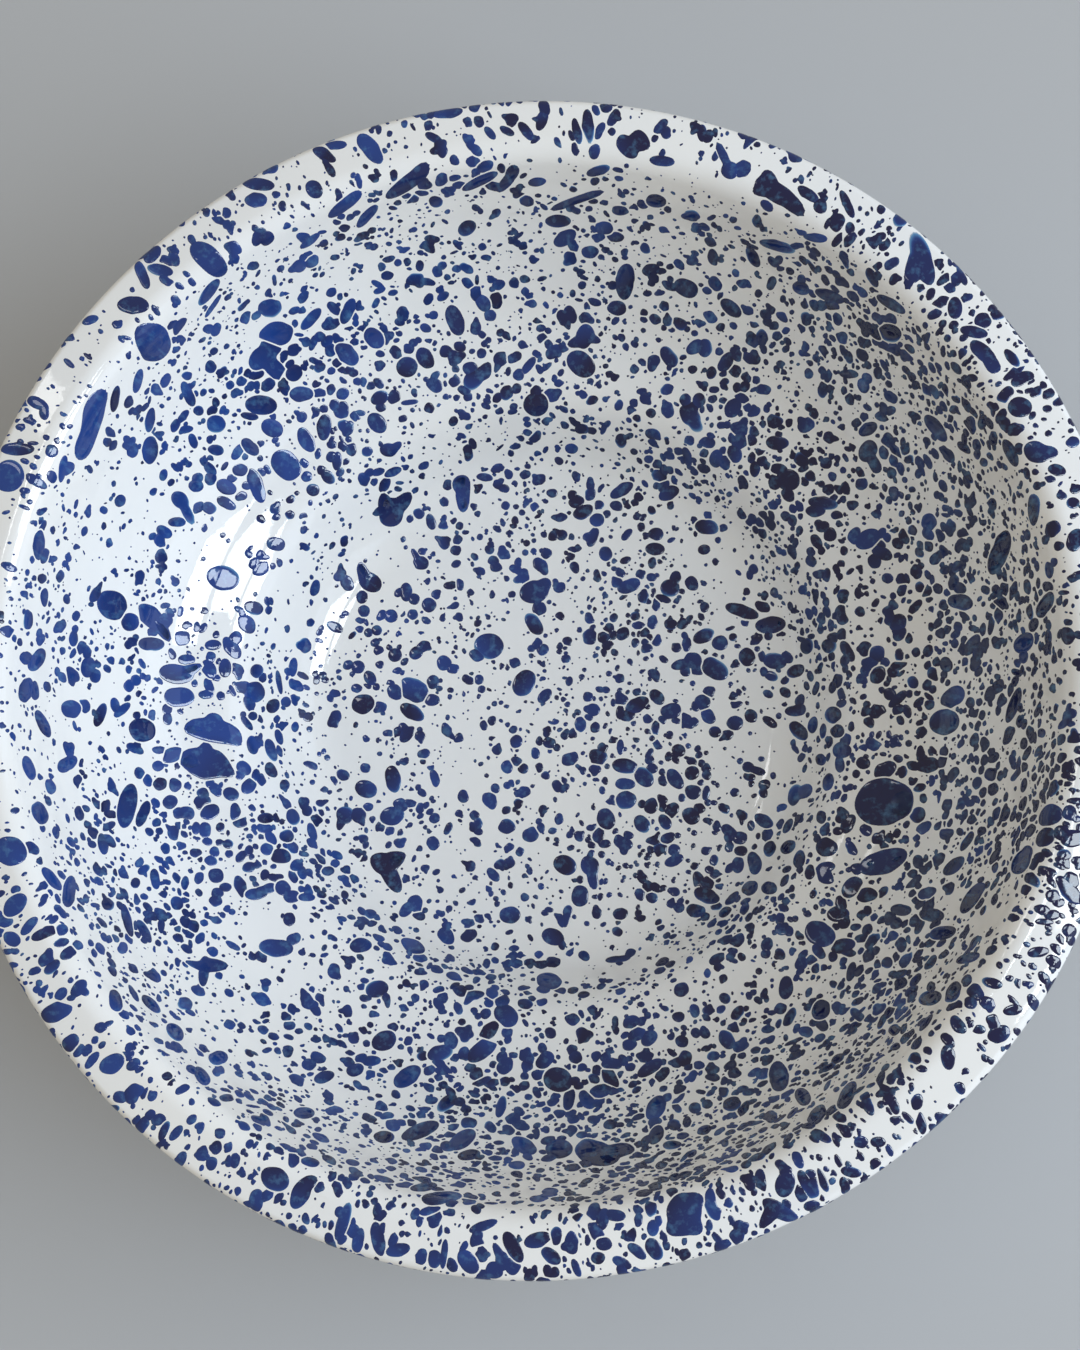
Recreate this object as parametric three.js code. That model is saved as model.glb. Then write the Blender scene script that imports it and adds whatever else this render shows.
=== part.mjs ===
import * as THREE from 'three';

// A large enamelled salad bowl: one steel pressing with a stepped foot, a flat rim and a rolled bead,
// fired on each face with a dark ground coat and then a cream cover coat.
// Millimetres, +Z up, origin at the middle of the face that the bowl stands on.

// Layers, laid on each other along the normal of the sheet's middle line
const SHEET = 0.8;
const GROUND_COAT = 0.12;
const COVER_COAT = 0.22;
const LAYER_GAP = 0.03;

// Rolled edge: how far the inside cover coat laps the cut edge, and the slit left under the rim
const EDGE_LAP = 0.35;
const BEAD_MOUTH = 0.85;

// The sheet's middle line from the axis outwards: straight runs and bend radii, slopes in degrees
const BASE_RADIUS = 72;
const FOOT_FILLET = 21;
const FOOT_SLOPE = 56;
const FOOT_SIDE = 13;
const SHOULDER_BEND = 18;
const SHOULDER_SLOPE = 16;
const SHOULDER_RUN = 6.5;
const BELLY_BEND = 36;
const BELLY_SLOPE = 48;
const WALL_BEND = 100;
const WALL_SLOPE = 72;
const WALL_RUN = 16;
const LIP_BEND = 7;
const RIM_SLOPE = -5;
const RIM_RUN = 9.6;

// Facets: how far a chord may stray from its bend, and how many there are round the bowl
const CHORD_ERROR = 0.2;
const FACETS_ROUND = 36;

// Distance from the sheet's middle to the face of each layer
const SHEET_FACE = SHEET / 2;
const GROUND_BACK = SHEET_FACE + LAYER_GAP;
const GROUND_FACE = GROUND_BACK + GROUND_COAT;
const COVER_BACK = GROUND_FACE + LAYER_GAP;
const COVER_FACE = COVER_BACK + COVER_COAT;

// The bead rolls back three quarters of a turn, so that its cut edge points up at the rim
const BEAD_TURN = 270;
const BEAD_BEND = COVER_FACE + EDGE_LAP + BEAD_MOUTH;

const steel = new THREE.MeshStandardMaterial({ color: 0x8b9096, roughness: 0.4, metalness: 1 });
const groundEnamel = new THREE.MeshStandardMaterial({ color: 0x1b2130, roughness: 0.3, metalness: 0 });
const creamEnamel = new THREE.MeshStandardMaterial({ color: 0xf1ece0, roughness: 0.12, metalness: 0 });

// Follows the sheet from the axis outwards, with a station at each end of a run or chord
class SheetLine {
  constructor(height) {
    this.stations = [{ r: 0, z: height, slope: 0 }];
  }

  get last() {
    return this.stations[this.stations.length - 1];
  }

  run(length) {
    const { r, z, slope } = this.last;
    this.stations.push({ r: r + length * Math.cos(slope), z: z + length * Math.sin(slope), slope });
  }

  bend(radius, endDegrees) {
    const { r, z, slope: start } = this.last;
    const turn = THREE.MathUtils.degToRad(endDegrees) - start;
    const chordTurn = 2 * Math.acos(1 - CHORD_ERROR / radius);
    const chords = Math.ceil(Math.abs(turn) / chordTurn);
    const reach = radius * Math.sign(turn);
    for (let chord = 1; chord <= chords; chord += 1) {
      const slope = start + (turn * chord) / chords;
      this.stations.push({
        r: r + reach * (Math.sin(slope) - Math.sin(start)),
        z: z + reach * (Math.cos(start) - Math.cos(slope)),
        slope,
      });
    }
  }
}

// A point off the middle line: offset is towards the inside of the bowl, along is onwards past the station
function pointAt({ r, z, slope }, offset, along = 0) {
  return new THREE.Vector2(
    r - offset * Math.sin(slope) + along * Math.cos(slope),
    z + offset * Math.cos(slope) + along * Math.sin(slope),
  );
}

// One layer between two offsets, turned round the axis; lap points go on past its outer end
function layer(name, stations, lowOffset, highOffset, material, lap = []) {
  const low = stations.map((station) => pointAt(station, lowOffset));
  const high = stations.map((station) => pointAt(station, highOffset));
  const profile = [...low, ...lap, ...high.reverse()];
  const geometry = new THREE.LatheGeometry(profile, FACETS_ROUND);
  geometry.rotateX(Math.PI / 2);
  const mesh = new THREE.Mesh(geometry, material);
  mesh.name = name;
  return mesh;
}

const sheetLine = new SheetLine(COVER_FACE);
sheetLine.run(BASE_RADIUS);
sheetLine.bend(FOOT_FILLET, FOOT_SLOPE);
sheetLine.run(FOOT_SIDE);
sheetLine.bend(SHOULDER_BEND, SHOULDER_SLOPE);
sheetLine.run(SHOULDER_RUN);
sheetLine.bend(BELLY_BEND, BELLY_SLOPE);
sheetLine.bend(WALL_BEND, WALL_SLOPE);
sheetLine.run(WALL_RUN);
sheetLine.bend(LIP_BEND, RIM_SLOPE);
sheetLine.run(RIM_RUN);
const underRim = [...sheetLine.stations];
sheetLine.bend(BEAD_BEND, RIM_SLOPE - BEAD_TURN);
const overBead = sheetLine.stations;
const cutEdge = sheetLine.last;

// The inside cover coat goes over the bead and laps the sheet's cut edge
const edgeLap = [
  pointAt(cutEdge, COVER_BACK, LAYER_GAP),
  pointAt(cutEdge, -SHEET_FACE, LAYER_GAP),
  pointAt(cutEdge, -SHEET_FACE, EDGE_LAP),
  pointAt(cutEdge, COVER_FACE, EDGE_LAP),
];

const bowl = new THREE.Group();
bowl.add(layer('steel_shell', overBead, -SHEET_FACE, SHEET_FACE, steel));
bowl.add(layer('ground_coat_inside', overBead, GROUND_BACK, GROUND_FACE, groundEnamel));
bowl.add(layer('ground_coat_outside', underRim, -GROUND_FACE, -GROUND_BACK, groundEnamel));
bowl.add(layer('cover_coat_inside', overBead, COVER_BACK, COVER_FACE, creamEnamel, edgeLap));
bowl.add(layer('cover_coat_outside', underRim, -COVER_FACE, -COVER_BACK, creamEnamel));

export default bowl;
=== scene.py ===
import math

import bpy
import numpy as np
from mathutils import Matrix, Vector, noise
from mathutils.bvhtree import BVHTree


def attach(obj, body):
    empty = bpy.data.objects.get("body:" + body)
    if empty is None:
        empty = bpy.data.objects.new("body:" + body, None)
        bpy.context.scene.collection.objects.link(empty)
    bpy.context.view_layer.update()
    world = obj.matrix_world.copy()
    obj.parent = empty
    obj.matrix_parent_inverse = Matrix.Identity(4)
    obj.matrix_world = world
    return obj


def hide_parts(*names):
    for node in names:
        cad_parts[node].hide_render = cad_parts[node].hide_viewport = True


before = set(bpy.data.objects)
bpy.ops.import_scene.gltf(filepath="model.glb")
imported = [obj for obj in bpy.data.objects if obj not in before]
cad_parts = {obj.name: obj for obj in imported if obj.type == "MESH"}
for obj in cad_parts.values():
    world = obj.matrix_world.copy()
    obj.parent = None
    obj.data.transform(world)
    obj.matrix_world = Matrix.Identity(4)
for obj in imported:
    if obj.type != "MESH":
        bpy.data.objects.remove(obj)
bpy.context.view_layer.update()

# Sizes are in millimetres until a mesh is made
MM = 0.001
TAU = 2 * math.pi

# Layers of the enamelled sheet, as in the solids
SHEET = 0.8
GROUND_COAT = 0.12
COVER_COAT = 0.22
LAYER_GAP = 0.03
EDGE_LAP = 0.35
BEAD_MOUTH = 0.85
SHEET_FACE = SHEET / 2
GROUND_BACK = SHEET_FACE + LAYER_GAP
GROUND_FACE = GROUND_BACK + GROUND_COAT
COVER_BACK = GROUND_FACE + LAYER_GAP
COVER_FACE = COVER_BACK + COVER_COAT

# The sheet's middle line from the axis outwards: straight runs and bend radii, slopes in degrees
BASE_RADIUS = 72
FOOT_FILLET = 21
FOOT_SLOPE = 56
FOOT_SIDE = 13
SHOULDER_BEND = 18
SHOULDER_SLOPE = 16
SHOULDER_RUN = 6.5
BELLY_BEND = 36
BELLY_SLOPE = 48
WALL_BEND = 100
WALL_SLOPE = 72
WALL_RUN = 16
LIP_BEND = 7
RIM_SLOPE = -5
RIM_RUN = 9.6
BEAD_TURN = 270
BEAD_BEND = COVER_FACE + EDGE_LAP + BEAD_MOUTH

# How finely the layers are drawn: along the sheet, and round the bowl
STEP = 2.5
STEP_TURN = 8
SEGMENTS = 256
HIDDEN_SEGMENTS = 128

# Slow waves that pressing and firing leave: height, waves round the bowl, length along the sheet, phase
WAVES = ((0.05, 3, 74, 0.4), (0.04, 7, 47, 1.9), (0.025, 12, 33, 4.1))

# The photograph's frame in pixels, and where its camera stands and aims, in millimetres
PHOTO_WIDE = 1080
PHOTO_HIGH = 1350
CAMERA_PLACE = (48.6, -96.1, 694)
CAMERA_AIM = (3.7, -2.95, 94)
LENS = 55.4
SENSOR = 36

# Splatter: smallest and largest diameter, and how many such drops lie on a square decimetre
DROP_SIZES = (
    (9, 13, 2.5),
    (7, 9, 7),
    (5.5, 7, 13),
    (4.2, 5.5, 30),
    (3.2, 4.2, 48),
    (2.5, 3.2, 48),
    (1.9, 2.5, 58),
    (1.3, 1.9, 90),
    (0.7, 1.3, 150),
)
SQUARE_DECIMETRE = 1e4

# Density of the drops on each face, as a share of those numbers, and the largest one left to chance inside
INSIDE_DENSITY = 1.85
OUTSIDE_DENSITY = 1.0
LARGEST_RANDOM = 5.5

# Where drops start from the axis, and the length at the bead's end inside that has none
FIRST_DROP = 1
BARE_END = 4

# Bare line between drops; how far they rise, from which radius, how that grows with size, and their depth
HAIRLINE = 0.36
DROP_RISE = 0.15
FULL_RISE_SIZE = 3
RISE_POWER = 0.6
DROP_DEPTH = 0.03

# Points round an outline, and its slight waves: how many, and how deep on random drops and others
OUTLINE_POINTS = 60
ANGLES = np.arange(OUTLINE_POINTS) * TAU / OUTLINE_POINTS
ROUND = np.array((np.cos(ANGLES), np.sin(ANGLES)))
OUTLINE_WAVES = (2, 3, 4, 5, 7)
RANDOM_UNEVEN = 0.1
PHOTO_UNEVEN = 0.06

# Lobes of splashed drops: from which radius, how often, how many, and their distance and size as shares
LOBED_FROM = 0.8
LOBED_SHARE = 0.38
MOST_LOBES = 2
LOBE_AWAY = (0.5, 1.1)
LOBE_SIZE = (0.35, 0.62)

# Tails of splashed drops: from which radius, how often, and the ranges of their sharpness and length
TAILED_FROM = 0.7
TAILED_SHARE = 0.12
TAIL_SHARPNESS = (14, 40)
TAIL_LENGTH = (0.4, 1.3)

# How often a drop is tried, and the most faces of an object
TRIES = 50
MOST_FACES = 190000

# Share of drops that run into another by radius, how far they overlap it and how much larger it may be
FUSED = ((0.6, 1.2), (0.08, 0.32))
OVERLAP = (0.15, 0.8)
LARGEST_PARTNER = 3.5

# Shares of a drop's radius: where it looks for others, how clear its middle stays, and what it must keep
LOOK_ROUND = 2.2
CLEAR_MIDDLE = 0.5
LEAST_KEPT = 0.88

# From which ratio of sizes two drops share a seam, and the least radius of an outline
SEAM_RATIO = 0.45
LEAST_RADIUS = 0.1

# Share of tries kept, by radius on the bowl, and how patches, noise and the heavier side change it
WALL_SHARE = ((85, 105, 150, 160), (0.21, 0.33, 0.33, 0.235))
PATCH_END = 2.5
CROWD_SCALE = 42
COARSE_CROWD = 0.8
FINE_CROWD = 0.7
FINE_SHIFT = (7, 3)
HEAVY_SIDE = math.radians(-30)
HEAVY_CROWD = 0.22

# Stretch, as middle and spread of its logarithm, and spread of turn: on the rim, steep wall and elsewhere
STEEP = 50
RIM_STRETCH = (0.5, 0.3)
RIM_TURN = 0.3
WALL_STRETCH = (0.25, 0.35)
WALL_TURN = 0.6
FLAT_STRETCH = (0.16, 0.28)

# Tone of the drops, its lean across the bowl as painted light, its spread and its slant in a drop; thinness
# of the flanks
TONE = 0.4
# Painted light: drops lighter cobalt on the lit left side, darker navy on the shaded right
PAINTED_LIGHT_LEAN = 0.42
TONE_SPREAD = 0.2
TONE_SLANT = 0.4
THIN_FLANKS = 0.35

# Least lean of a cone, least cosine of a straight cut, least gap to divide by, and steps of shrinking
LEAST_LEAN = 0.02
LEAST_FACING = 0.05
LEAST_GAP = 1e-6
SHRINK_STEPS = 10

# Rings of a large drop as shares of its radius and rise, close enough to follow the lip
LARGE_RINGS = (
    (0.12, 1.0), (0.24, 0.99), (0.36, 0.98), (0.48, 0.96), (0.6, 0.92),
    (0.71, 0.84), (0.81, 0.72), (0.9, 0.53), (0.96, 0.3), (1.0, -0.12),
)

# Mesh of a drop: from which longest radius, points round it, and its rings
DROP_MESHES = (
    (4.2, 48, LARGE_RINGS),
    (2.6, 36, ((0.3, 0.99), (0.58, 0.93), (0.8, 0.72), (0.93, 0.42), (1.0, -0.12))),
    (1.4, 20, ((0.62, 0.9), (0.9, 0.5), (1.0, -0.15))),
    (0.72, 11, ((0.78, 0.68), (1.0, -0.2))),
    (0.0, 7, ((1.0, -0.3),)),
)

# Drops read in the photograph: pixel across and down, long and short side, degrees up, any paleness
UPPER_RIM_DROPS = (
    (17, 449, 38, 13, 0), (8, 476, 34, 32, 30), (37, 403, 24, 12, -28), (90, 320, 18, 9, 20),
    (133, 305, 33, 18, -2), (142, 274, 32, 11, -68), (152, 254, 22, 15, 45), (160, 270, 28, 12, -12),
    (174, 259, 17, 11, -60), (209, 259, 46, 24, -42), (258, 184, 34, 13, -8), (256, 200, 24, 15, 0),
    (259, 237, 21, 13, 60), (324, 154, 27, 12, -25), (335, 145, 24, 9, 3), (314, 189, 21, 16, -45),
    (370, 148, 38, 17, -52), (447, 112, 34, 13, 6), (434, 138, 20, 9, -30), (476, 150, 16, 10, -45),
    (490, 133, 17, 8, -50), (507, 131, 17, 8, -30), (526, 131, 24, 10, -52), (577, 131, 30, 9, -78, 0.7),
    (588, 127, 40, 12, -85), (606, 107, 14, 12, 0), (596, 110, 12, 8, -60), (662, 161, 27, 11, -5),
    (702, 133, 18, 10, 90, 0.6), (808, 194, 28, 11, -38), (847, 204, 33, 9, -65), (850, 228, 13, 10, 90),
    (881, 236, 12, 8, 0), (955, 308, 23, 15, 90), (962, 275, 24, 8, -70), (974, 332, 29, 12, -12),
    (1012, 358, 24, 10, -50), (1020, 407, 25, 21, 0), (1057, 470, 19, 12, -15), (1073, 442, 14, 12, 0),
    (1073, 503, 14, 12, 0), (1075, 540, 24, 17, 70),
)
LOWER_RIM_DROPS = (
    (1064, 855, 14, 13, 0), (1068, 890, 36, 17, -45), (1053, 896, 16, 14, 0), (1052, 915, 17, 11, 0),
    (1038, 952, 23, 11, 12), (992, 983, 22, 11, -18), (1013, 1010, 21, 11, 10), (999, 1034, 24, 18, 20),
    (948, 1057, 26, 15, -80), (917, 1102, 19, 12, 80), (921, 1123, 28, 10, -75), (908, 1118, 18, 7, -45),
    (861, 1142, 15, 13, 0), (878, 1142, 17, 11, 0), (851, 1172, 22, 11, -12), (822, 1180, 28, 9, -65),
    (785, 1184, 28, 20, 75), (812, 1206, 18, 12, 10), (653, 1228, 17, 13, 90), (654, 1249, 24, 16, -60),
    (604, 1244, 17, 14, 0), (598, 1258, 15, 13, 0), (637, 1251, 24, 11, -40), (622, 1263, 22, 11, -30),
    (551, 1256, 24, 14, -40), (556, 1236, 20, 12, 80), (538, 1240, 30, 16, 15),
    (513, 1247, 36, 15, -62, 0.5), (494, 1271, 20, 18, 85), (468, 1262, 28, 18, -50),
    (444, 1254, 34, 7, 85), (398, 1250, 25, 14, 15, 0.6), (378, 1239, 36, 14, -80),
    (358, 1241, 28, 12, 78, 0.7), (343, 1222, 44, 12, 72), (275, 1179, 30, 24, -20),
    (256, 1201, 24, 16, 80), (176, 1133, 20, 9, 50), (150, 1115, 13, 10, 45), (112, 1064, 28, 19, 30),
    (92, 1060, 22, 9, 50), (70, 1043, 22, 15, 45), (56, 1012, 36, 19, 20), (61, 994, 16, 11, 50),
    (52, 967, 20, 11, 40), (12, 939, 20, 14, -30), (29, 926, 26, 10, 45), (15, 905, 30, 18, 45),
    (10, 851, 34, 30, -20),
)
TOP_WALL_DROPS = (
    (345, 205, 44, 12, 38), (367, 216, 32, 10, 48), (310, 241, 26, 8, 38), (209, 292, 34, 11, 52),
    (213, 306, 32, 5, 56), (485, 167, 19, 11, 25), (480, 181, 44, 10, 27), (537, 182, 20, 9, 8),
    (467, 228, 20, 15, 35), (577, 200, 70, 8, 20), (558, 221, 27, 13, 0), (604, 228, 19, 14, 0),
    (565, 238, 26, 15, 35), (590, 252, 18, 13, 0), (598, 171, 26, 10, 18), (656, 201, 21, 14, -10),
    (625, 281, 38, 19, 85), (617, 308, 19, 16, 0), (651, 270, 19, 13, 10), (686, 288, 27, 18, -20),
    (731, 308, 26, 14, -40), (778, 246, 40, 11, -15), (753, 257, 24, 11, -60), (815, 238, 26, 9, -8),
    (830, 296, 34, 12, -20), (872, 278, 22, 10, -60), (891, 304, 34, 11, -30), (801, 288, 18, 14, -30),
)
LEFT_DROPS = (
    (154, 343, 44, 34, -60, 0.35), (138, 381, 26, 9, 75, 0.6), (63, 469, 30, 8, 80), (115, 399, 28, 9, 80),
    (39, 545, 32, 12, 85, 0.4), (150, 420, 26, 10, 80), (150, 450, 30, 16, 85), (188, 394, 28, 11, -65),
    (216, 424, 20, 18, 0), (177, 522, 19, 10, 0), (226, 487, 22, 15, -25), (250, 447, 22, 13, -45),
    (261, 405, 33, 20, -5), (270, 308, 26, 18, 0), (276, 334, 34, 26, 10), (294, 373, 19, 16, 40),
    (301, 394, 24, 16, 0, 0.6), (347, 354, 28, 18, -40), (374, 338, 24, 18, -50), (348, 311, 30, 12, 65),
    (311, 319, 30, 11, 48), (286, 465, 36, 26, -40), (306, 440, 28, 15, -60), (272, 428, 24, 18, -30),
    (324, 427, 27, 15, 85), (223, 578, 36, 24, -10), (254, 608, 20, 14, -20), (247, 624, 22, 16, -50),
    (112, 605, 34, 28, -40, 0.45), (130, 622, 20, 18, -10), (151, 644, 27, 14, 0), (179, 697, 32, 20, -5),
    (209, 669, 21, 14, -60), (225, 668, 20, 13, 90), (232, 648, 28, 14, -55), (255, 692, 22, 21, 0),
    (172, 755, 25, 15, 20), (142, 730, 28, 24, -10), (271, 750, 25, 11, -70), (37, 660, 28, 14, 55),
    (88, 667, 22, 15, 80), (71, 709, 22, 18, 0), (43, 724, 32, 11, -65), (26, 690, 26, 15, 75),
    (67, 764, 24, 14, 35, 0.6), (29, 768, 26, 12, -70), (127, 806, 48, 19, 78, 0.4),
    (143, 814, 30, 11, 68), (40, 813, 24, 16, -70), (103, 844, 22, 11, -80), (69, 892, 34, 14, 80, 0.5),
    (52, 879, 30, 11, -50), (127, 920, 38, 9, -75), (144, 931, 26, 10, -60), (276, 948, 36, 18, -5, 0.7),
    (256, 894, 24, 12, 5), (116, 1000, 24, 13, -75), (151, 1004, 24, 11, -40), (175, 1032, 22, 14, -50),
    (202, 1076, 22, 13, -50), (218, 1058, 19, 15, 0), (304, 1113, 22, 12, 0), (226, 503, 22, 11, -30),
    (209, 508, 16, 12, -15), (164, 532, 18, 12, -30), (196, 486, 15, 13, 0), (216, 450, 17, 11, -10),
    (210, 469, 18, 10, -50), (193, 441, 16, 9, -70), (240, 470, 16, 13, 0), (256, 485, 38, 15, -70, 0.4),
    (276, 544, 20, 14, -10), (213, 645, 17, 11, 0), (257, 671, 15, 13, 60), (273, 706, 16, 13, 50),
    (293, 667, 20, 9, 85), (122, 710, 22, 9, 40), (100, 715, 26, 11, 70, 0.6), (158, 766, 13, 11, 0),
    (159, 750, 15, 8, 0), (160, 784, 15, 13, 30), (175, 785, 15, 13, 80), (170, 802, 16, 14, 30),
    (187, 813, 16, 14, -20), (210, 812, 21, 15, 20), (205, 830, 16, 13, 85), (203, 793, 13, 11, -20),
    (210, 782, 13, 9, 80), (231, 794, 18, 13, -30), (249, 786, 18, 14, 50), (244, 768, 17, 13, -50),
    (256, 775, 13, 9, 80), (253, 745, 20, 12, -75), (271, 770, 18, 11, -60), (279, 737, 17, 8, -70),
    (247, 723, 20, 7, -55), (253, 716, 10, 9, 0), (295, 727, 11, 8, 80), (308, 717, 11, 10, 0),
    (266, 818, 17, 11, 0), (293, 817, 18, 13, -60), (307, 811, 11, 11, 0), (312, 832, 20, 9, -70),
    (287, 836, 15, 13, -10), (267, 849, 14, 13, 0), (271, 838, 16, 10, -50), (228, 844, 11, 10, 0),
    (265, 875, 12, 10, 80), (297, 865, 14, 12, 30), (199, 878, 13, 10, 70), (185, 883, 15, 8, 85),
    (283, 888, 17, 15, -40), (328, 871, 13, 10, 10), (307, 897, 17, 9, 0), (343, 775, 15, 11, -30, 0.7),
    (279, 682, 26, 6, -80),
)
MIDDLE_DROPS = (
    (455, 320, 31, 18, -70), (483, 303, 20, 14, -55), (581, 364, 32, 24, -40), (669, 357, 24, 15, -55),
    (705, 348, 19, 15, 90), (726, 362, 24, 13, 55), (733, 408, 22, 16, 60), (716, 459, 19, 14, 80),
    (777, 443, 25, 14, -5), (788, 480, 24, 23, 0), (407, 367, 22, 21, 0), (425, 358, 23, 17, -60),
    (536, 405, 26, 24, 0), (377, 423, 24, 17, -50), (622, 490, 28, 12, 30), (669, 493, 22, 14, 25),
    (583, 512, 22, 14, 25), (707, 527, 25, 15, -8), (655, 549, 20, 13, 0), (489, 646, 30, 26, 0),
    (414, 690, 32, 24, -20), (412, 712, 27, 15, -30), (363, 704, 24, 20, 20), (524, 683, 28, 22, 70),
    (366, 789, 23, 18, -20), (393, 779, 28, 16, -80), (534, 624, 28, 14, -50), (629, 586, 25, 14, 20),
    (670, 588, 20, 18, 10), (742, 611, 36, 13, -18), (771, 625, 33, 17, 3), (704, 636, 24, 14, 22),
    (720, 643, 17, 15, 0), (715, 669, 30, 20, -32), (775, 661, 24, 17, -10), (637, 705, 26, 15, 25),
    (671, 711, 22, 16, 15), (625, 766, 28, 15, -10), (644, 777, 24, 17, -50), (626, 800, 22, 18, 0),
    (675, 779, 24, 14, -55), (606, 819, 23, 18, -70), (642, 824, 20, 15, -55),
    (565, 865, 24, 20, -30, 0.6), (580, 896, 22, 18, 80), (553, 937, 24, 17, -20), (510, 915, 21, 18, 0),
    (392, 816, 25, 19, 10), (281, 856, 21, 16, 0), (361, 945, 23, 15, 5), (413, 946, 26, 14, -25),
    (446, 936, 20, 15, -45), (377, 989, 23, 18, 10), (549, 981, 26, 17, -10), (707, 896, 28, 15, -20),
    (696, 911, 20, 14, -10), (755, 864, 24, 14, -80), (747, 657, 19, 17, -60, 0.5), (796, 671, 19, 13, 20),
    (771, 676, 15, 10, -25), (735, 723, 17, 15, 0), (751, 716, 15, 13, -60, 0.5), (770, 722, 18, 9, -35),
    (764, 821, 21, 13, -30), (740, 838, 15, 14, 0), (741, 851, 14, 11, 0), (738, 865, 17, 13, 80),
    (692, 773, 16, 14, 30), (693, 792, 17, 15, 0), (706, 793, 16, 8, 80, 0.6), (651, 806, 17, 14, 80),
    (665, 822, 17, 12, -60, 0.6), (691, 816, 20, 16, -45), (668, 838, 16, 11, 20), (657, 697, 18, 13, -50),
    (347, 583, 18, 13, -60), (362, 597, 14, 12, 80), (395, 692, 18, 15, -40), (433, 682, 15, 13, 90),
    (432, 700, 15, 13, 0), (444, 663, 16, 15, 0), (429, 605, 15, 15, 0), (391, 616, 14, 14, 0),
    (364, 611, 13, 12, 0), (414, 599, 12, 12, 0), (358, 667, 14, 14, 0), (370, 678, 16, 12, -60),
    (395, 655, 15, 14, 0), (416, 653, 15, 13, 45), (335, 627, 19, 10, -30, 0.8),
    (315, 588, 17, 10, 75, 0.5), (431, 522, 17, 10, -75), (393, 472, 19, 9, 25), (337, 461, 20, 10, 85),
    (328, 477, 17, 12, -45), (313, 490, 14, 13, 0), (597, 520, 15, 14, 0), (656, 534, 16, 13, 0),
    (625, 784, 21, 12, -5), (613, 635, 10, 10, 0), (715, 732, 13, 12, 0), (694, 722, 10, 10, 0),
)
RIGHT_DROPS = (
    (890, 333, 24, 18, -20), (868, 429, 21, 13, 30), (936, 428, 34, 14, -50), (868, 539, 28, 19, 30),
    (823, 503, 32, 13, -8), (929, 522, 18, 16, 90, 0.6), (1010, 453, 30, 12, -65), (1033, 510, 33, 12, 90),
    (1000, 552, 50, 18, 70), (898, 623, 20, 17, 60), (961, 602, 27, 16, -10, 0.6), (972, 645, 26, 12, 55),
    (1024, 643, 24, 18, 45), (953, 697, 28, 19, 40), (945, 722, 32, 26, 10), (841, 750, 19, 17, 0),
    (833, 715, 18, 17, 0), (928, 765, 25, 16, 10), (885, 770, 26, 16, 30), (1014, 705, 40, 11, 70),
    (1045, 605, 28, 14, 60), (826, 847, 22, 20, 0), (848, 824, 22, 13, 60), (884, 862, 52, 24, 22),
    (852, 887, 26, 17, 45), (867, 895, 22, 15, 10), (838, 914, 23, 16, 5), (820, 934, 32, 25, -30),
    (843, 946, 26, 15, 15), (901, 910, 22, 12, -5), (932, 915, 27, 14, -8), (943, 933, 28, 14, 10),
    (927, 893, 22, 11, 20), (954, 866, 27, 13, 40), (1044, 837, 24, 16, 40), (1048, 815, 28, 18, 45),
    (930, 998, 24, 15, 15), (953, 992, 24, 14, 60), (821, 1010, 22, 18, 60), (786, 988, 24, 15, 85),
    (968, 958, 27, 10, 15), (878, 675, 20, 15, 60), (847, 651, 24, 11, -60), (829, 646, 16, 15, 0),
    (807, 646, 17, 13, 80), (877, 654, 18, 16, 60), (893, 672, 13, 12, 0), (799, 731, 24, 14, -45),
    (813, 725, 18, 10, 80), (823, 731, 16, 7, 85), (837, 731, 15, 14, 0), (863, 763, 15, 13, 0),
    (828, 782, 18, 12, 80), (788, 826, 17, 8, 60), (821, 817, 13, 11, 80), (866, 830, 14, 12, -30),
    (770, 849, 16, 13, 70), (788, 847, 17, 13, 40), (799, 859, 19, 12, 75), (810, 872, 16, 11, 80),
    (750, 888, 18, 14, 40), (769, 888, 17, 13, 0), (898, 699, 24, 10, 42), (882, 553, 24, 13, -25),
    (849, 374, 21, 9, -5), (873, 331, 24, 10, -50),
)
LOWER_WALL_DROPS = (
    (506, 1015, 26, 22, -45), (489, 1031, 26, 14, 45), (482, 1050, 36, 18, 35),
    (384, 1041, 26, 20, 30, 0.4), (407, 1077, 32, 18, 35), (440, 1053, 27, 16, 15), (384, 1137, 23, 12, 0),
    (420, 1131, 42, 15, 22), (462, 1140, 32, 17, 35), (469, 1155, 24, 11, 10), (447, 1103, 26, 13, 40),
    (442, 1197, 40, 13, 5), (424, 1187, 28, 9, 8), (483, 1226, 32, 10, 20), (558, 1080, 30, 25, -20),
    (569, 1099, 24, 12, 80), (587, 1100, 22, 14, -50), (601, 1091, 24, 14, 15), (610, 1078, 26, 14, -60),
    (650, 1068, 30, 13, 35), (656, 1108, 28, 18, 60, 0.5), (559, 1149, 28, 20, 0), (656, 1135, 22, 14, 60),
    (727, 1040, 22, 15, -55), (779, 1077, 32, 20, -85), (732, 1104, 19, 15, 20), (614, 1215, 26, 12, -8),
    (847, 1095, 32, 14, 60), (817, 1115, 26, 14, 55), (501, 1107, 25, 10, 75), (524, 1146, 28, 16, -30),
    (355, 1070, 19, 13, 20), (371, 1061, 20, 11, 5), (324, 1077, 22, 12, 20), (387, 1116, 15, 8, 5),
    (393, 1125, 16, 13, -20), (545, 1060, 22, 15, 45), (612, 1064, 21, 13, 0), (649, 1038, 19, 15, 50),
    (889, 1096, 22, 10, 60), (803, 1097, 20, 15, -60), (430, 1210, 22, 9, 15), (674, 1125, 14, 12, 0),
    (672, 1145, 20, 9, 5), (687, 1122, 12, 9, 80), (695, 1108, 13, 12, 0), (707, 1104, 12, 10, 0),
    (505, 1066, 20, 15, 50),
)
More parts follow.
